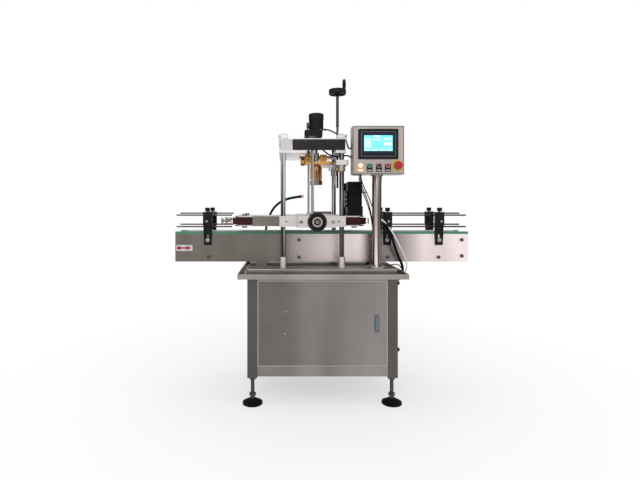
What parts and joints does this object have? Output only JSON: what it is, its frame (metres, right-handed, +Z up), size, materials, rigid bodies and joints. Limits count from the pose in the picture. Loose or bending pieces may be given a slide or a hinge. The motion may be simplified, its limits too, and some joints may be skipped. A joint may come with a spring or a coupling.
{
  "type": "bottle capping machine",
  "caption": "Inline bottle capping machine: slat conveyor through a cabinet with a column frame, a motor-driven chuck head, side gripping belts and an operator box on a pole.",
  "frame": {"origin": "on the floor under the middle of the conveyor", "axes": "+X along the conveyor towards the control box, -Y towards the operator, +Z up"},
  "size_m": [1.568, 0.58, 1.69],
  "materials": {
    "brushed_stainless": "brushed, vertical grain",
    "latch_grey": "satin",
    "black_rubber": "matte",
    "chain_plastic": "satin",
    "sprocket_plastic": "matte",
    "green_strip": "satin",
    "motor_black": "satin",
    "black_moulding": "satin",
    "polished_steel": "polished",
    "silver_aluminium": "fine machined",
    "fascia_black": "gloss",
    "gold_anodised": "anodised",
    "belt_maroon": "matte",
    "panel_dark": "satin",
    "button_green": "gloss",
    "button_maroon": "gloss",
    "button_red": "gloss",
    "lead_black": "matte",
    "tube_blue": "gloss"
  },
  "bodies": {
    "root": {"cabinet_frame": "brushed_stainless", "cabinet_panels": "brushed_stainless", "table_tray": "brushed_stainless", "levelling_feet": "black_rubber", "side_plates": "brushed_stainless", "cross_members": "brushed_stainless", "slat_chain": "chain_plastic", "wear_strips": "green_strip", "conveyor_motor": "motor_black", "guide_brackets": "black_moulding", "columns": "polished_steel", "column_clamps": "silver_aluminium", "top_plates": "silver_aluminium", "fascia": "fascia_black", "head_motor": "motor_black", "control_pole": "brushed_stainless", "control_box": "brushed_stainless", "touch_panel": "panel_dark", "panel_fittings": "panel_dark", "sensor_arm": "lead_black", "air_tubes": "tube_blue", "cable_bundle": "lead_black"},
    "door": {"door": "brushed_stainless"},
    "door_latch": {"door_latch": "latch_grey"},
    "drive_sprocket": {"drive_sprocket": "sprocket_plastic"},
    "tail_sprocket": {"tail_sprocket": "sprocket_plastic"},
    "rail_near_left": {"guide_rail_near_left": "polished_steel"},
    "rail_near_right": {"guide_rail_near_right": "polished_steel"},
    "rail_far_left": {"guide_rail_far_left": "polished_steel"},
    "rail_far_right": {"guide_rail_far_right": "polished_steel"},
    "carriage": {"carriage_bar": "silver_aluminium", "head_yoke": "gold_anodised"},
    "lift_wheel": {"lift_wheel": "black_moulding", "lift_screw": "polished_steel"},
    "lift_grip": {"lift_grip": "black_moulding"},
    "drive_shaft": {"drive_shaft": "polished_steel"},
    "spindle": {"spindle": "polished_steel", "chuck_body": "polished_steel"},
    "finger_1": {"finger_1": "gold_anodised"},
    "finger_2": {"finger_2": "gold_anodised"},
    "finger_3": {"finger_3": "gold_anodised"},
    "belt_frame": {"crossbars": "silver_aluminium"},
    "near_unit": {"near_slide_rods": "polished_steel", "near_unit_plates": "silver_aluminium", "near_belt": "belt_maroon", "near_belt_motor": "motor_black"},
    "far_unit": {"far_slide_rods": "polished_steel", "far_unit_plates": "silver_aluminium", "far_belt": "belt_maroon", "far_belt_motor": "motor_black"},
    "width_wheel": {"width_wheel": "black_moulding"},
    "width_grip": {"width_grip": "black_moulding"},
    "near_drive_pulley": {"near_drive_pulley": "silver_aluminium"},
    "near_idler_pulley": {"near_idler_pulley": "silver_aluminium"},
    "far_drive_pulley": {"far_drive_pulley": "silver_aluminium"},
    "far_idler_pulley": {"far_idler_pulley": "silver_aluminium"},
    "button_green": {"button_green": "button_green"},
    "button_maroon": {"button_maroon": "button_maroon"},
    "button_red": {"button_red": "button_red"},
    "stop_button": {"stop_button": "button_red"}
  },
  "joints": [
    {"name": "door_hinge", "type": "hinge", "parent": "root", "child": "door", "pos_m": [-0.3295, -0.241, 0.4], "axis": [0, 0, -1], "range_deg": [0, 100]},
    {"name": "latch_turn", "type": "hinge", "parent": "door", "child": "door_latch", "pos_m": [0.2605, -0.245, 0.406], "axis": [0, -1, 0], "range_deg": [0, 90]},
    {"name": "drive_sprocket_spin", "type": "hinge", "parent": "root", "child": "drive_sprocket", "pos_m": [0.72392, 0, 0.79822], "axis": [0, 1, 0], "continuous": true},
    {"name": "tail_sprocket_spin", "type": "hinge", "parent": "root", "child": "tail_sprocket", "pos_m": [-0.72392, 0, 0.79822], "axis": [0, 1, 0], "continuous": true},
    {"name": "rail_near_left_slide", "type": "slide", "parent": "root", "child": "rail_near_left", "axis": [0, 1, 0], "range_m": [-0.006, 0.014]},
    {"name": "rail_near_right_slide", "type": "slide", "parent": "root", "child": "rail_near_right", "axis": [0, 1, 0], "range_m": [-0.006, 0.014]},
    {"name": "rail_far_left_slide", "type": "slide", "parent": "root", "child": "rail_far_left", "axis": [0, -1, 0], "range_m": [-0.006, 0.014]},
    {"name": "rail_far_right_slide", "type": "slide", "parent": "root", "child": "rail_far_right", "axis": [0, -1, 0], "range_m": [-0.006, 0.014]},
    {"name": "carriage_lift", "type": "slide", "parent": "root", "child": "carriage", "axis": [0, 0, 1], "range_m": [-0.07, 0.015]},
    {"name": "lift_wheel_turn", "type": "hinge", "parent": "root", "child": "lift_wheel", "pos_m": [0.0936, 0, 1.6], "axis": [0, 0, 1], "range_deg": [-8401, 1801]},
    {"name": "lift_grip_turn", "type": "hinge", "parent": "lift_wheel", "child": "lift_grip", "pos_m": [0.1306, 0, 1.65], "axis": [0, 0, 1], "continuous": true},
    {"name": "drive_shaft_spin", "type": "hinge", "parent": "root", "child": "drive_shaft", "pos_m": [-0.024, 0, 1.25], "axis": [0, 0, 1], "continuous": true},
    {"name": "spindle_spin", "type": "hinge", "parent": "carriage", "child": "spindle", "pos_m": [-0.024, 0, 1.2], "axis": [0, 0, 1], "continuous": true},
    {"name": "finger_1_open", "type": "hinge", "parent": "spindle", "child": "finger_1", "pos_m": [-0.024, -0.02, 1.196], "axis": [-1, 0, 0], "range_deg": [0, 5], "stiffness_Nm_per_rad": 0.4},
    {"name": "finger_2_open", "type": "hinge", "parent": "spindle", "child": "finger_2", "pos_m": [-0.00668, 0.01, 1.196], "axis": [0.5, -0.866, 0], "range_deg": [0, 5], "stiffness_Nm_per_rad": 0.4},
    {"name": "finger_3_open", "type": "hinge", "parent": "spindle", "child": "finger_3", "pos_m": [-0.04132, 0.01, 1.196], "axis": [0.5, 0.866, 0], "range_deg": [0, 5], "stiffness_Nm_per_rad": 0.4},
    {"name": "belt_frame_slide", "type": "slide", "parent": "root", "child": "belt_frame", "axis": [0, 0, 1], "range_m": [-0.01, 0.04]},
    {"name": "near_unit_slide", "type": "slide", "parent": "belt_frame", "child": "near_unit", "axis": [0, 1, 0], "range_m": [-0.005, 0.02]},
    {"name": "far_unit_slide", "type": "slide", "parent": "belt_frame", "child": "far_unit", "axis": [0, -1, 0], "range_m": [-0.005, 0.02]},
    {"name": "width_wheel_turn", "type": "hinge", "parent": "near_unit", "child": "width_wheel", "pos_m": [-0.036, -0.23, 0.912], "axis": [0, 1, 0], "range_deg": [-601, 2401]},
    {"name": "width_grip_turn", "type": "hinge", "parent": "width_wheel", "child": "width_grip", "pos_m": [-0.06146, -0.26, 0.88654], "axis": [0, 1, 0], "continuous": true},
    {"name": "near_drive_pulley_spin", "type": "hinge", "parent": "near_unit", "child": "near_drive_pulley", "pos_m": [0.172, -0.087, 0.912], "axis": [0, 0, 1], "continuous": true},
    {"name": "near_idler_pulley_spin", "type": "hinge", "parent": "near_unit", "child": "near_idler_pulley", "pos_m": [-0.412, -0.087, 0.912], "axis": [0, 0, 1], "continuous": true},
    {"name": "far_drive_pulley_spin", "type": "hinge", "parent": "far_unit", "child": "far_drive_pulley", "pos_m": [0.172, 0.087, 0.912], "axis": [0, 0, 1], "continuous": true},
    {"name": "far_idler_pulley_spin", "type": "hinge", "parent": "far_unit", "child": "far_idler_pulley", "pos_m": [-0.412, 0.087, 0.912], "axis": [0, 0, 1], "continuous": true},
    {"name": "button_green_press", "type": "slide", "parent": "root", "child": "button_green", "axis": [0, 1, 0], "range_m": [0, 0.004], "stiffness_N_per_m": 400},
    {"name": "button_maroon_press", "type": "slide", "parent": "root", "child": "button_maroon", "axis": [0, 1, 0], "range_m": [0, 0.004], "stiffness_N_per_m": 400},
    {"name": "button_red_press", "type": "slide", "parent": "root", "child": "button_red", "axis": [0, 1, 0], "range_m": [0, 0.004], "stiffness_N_per_m": 400},
    {"name": "stop_button_press", "type": "slide", "parent": "root", "child": "stop_button", "axis": [0, 1, 0], "range_m": [0, 0.005], "stiffness_N_per_m": 800}
  ],
  "couplings": [
    {"joint": "tail_sprocket_spin", "follows": "drive_sprocket_spin", "ratio": 1},
    {"joint": "lift_wheel_turn", "follows": "carriage_lift", "rad_per_m": 2094.4},
    {"joint": "spindle_spin", "follows": "drive_shaft_spin", "ratio": 1},
    {"joint": "finger_2_open", "follows": "finger_1_open", "ratio": 1},
    {"joint": "finger_3_open", "follows": "finger_1_open", "ratio": 1},
    {"joint": "width_wheel_turn", "follows": "near_unit_slide", "rad_per_m": 2094.4},
    {"joint": "near_idler_pulley_spin", "follows": "near_drive_pulley_spin", "ratio": 1},
    {"joint": "far_drive_pulley_spin", "follows": "near_drive_pulley_spin", "ratio": -1},
    {"joint": "far_idler_pulley_spin", "follows": "near_drive_pulley_spin", "ratio": -1}
  ]
}
